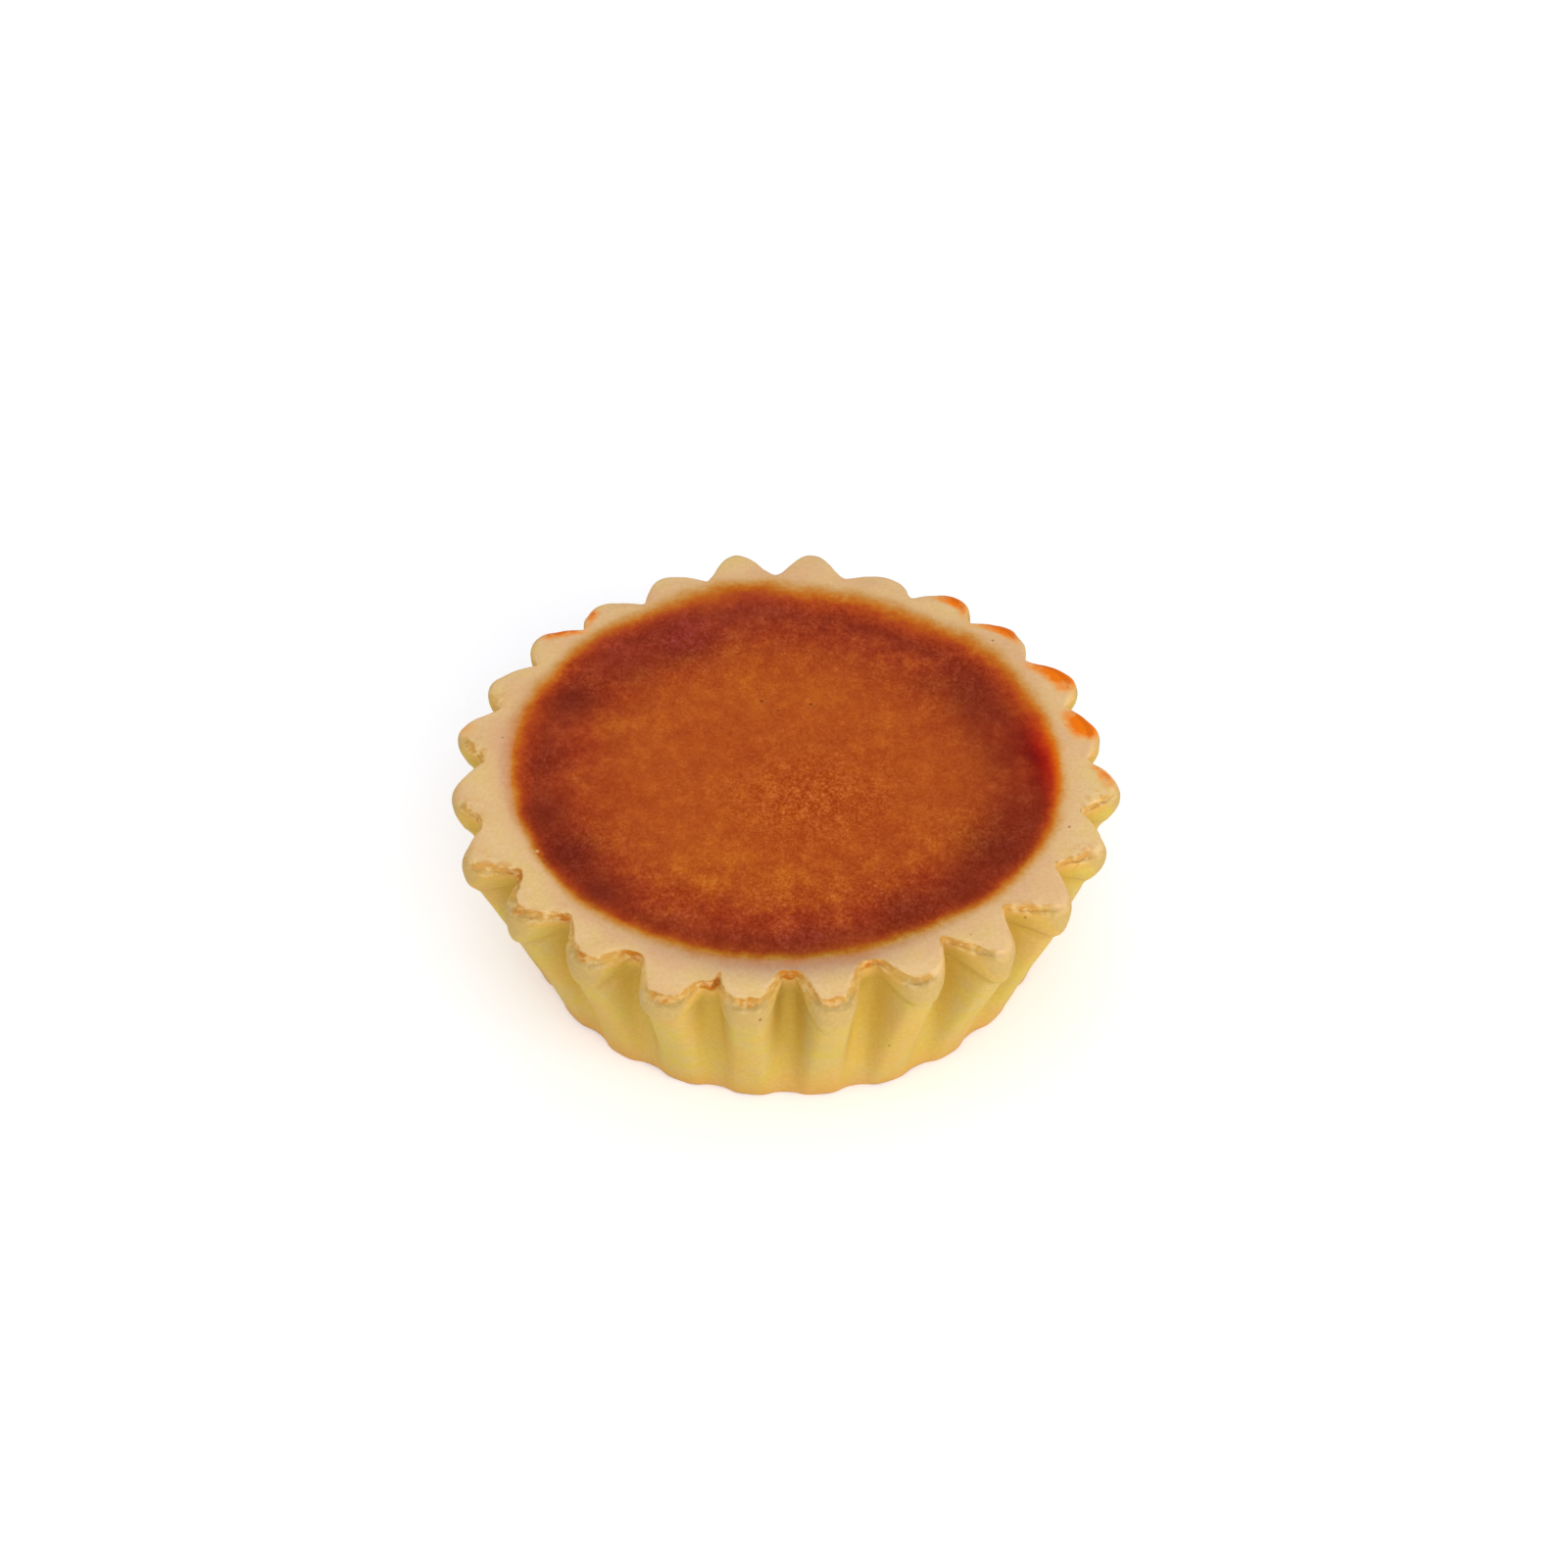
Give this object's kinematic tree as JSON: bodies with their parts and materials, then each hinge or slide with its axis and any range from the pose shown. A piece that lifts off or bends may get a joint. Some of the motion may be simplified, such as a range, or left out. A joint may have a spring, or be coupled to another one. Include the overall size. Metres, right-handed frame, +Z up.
{
  "type": "egg pie",
  "caption": "Small round egg pie: fluted, flaring shortcrust shell with a rounded, torn-edged lip, filled level with its rim by browned baked custard.",
  "frame": {"origin": "centre of the flat base, on the axis of the tin that the pie was baked in", "axes": "+Z up through the custard; -Y towards the side that the picture shows in front; +X to the picture's right"},
  "size_m": [0.078, 0.0789, 0.0232],
  "materials": {
    "pastry": null,
    "custard": null
  },
  "bodies": {
    "root": {"pastry_shell": "pastry", "custard": "custard"}
  },
  "joints": []
}
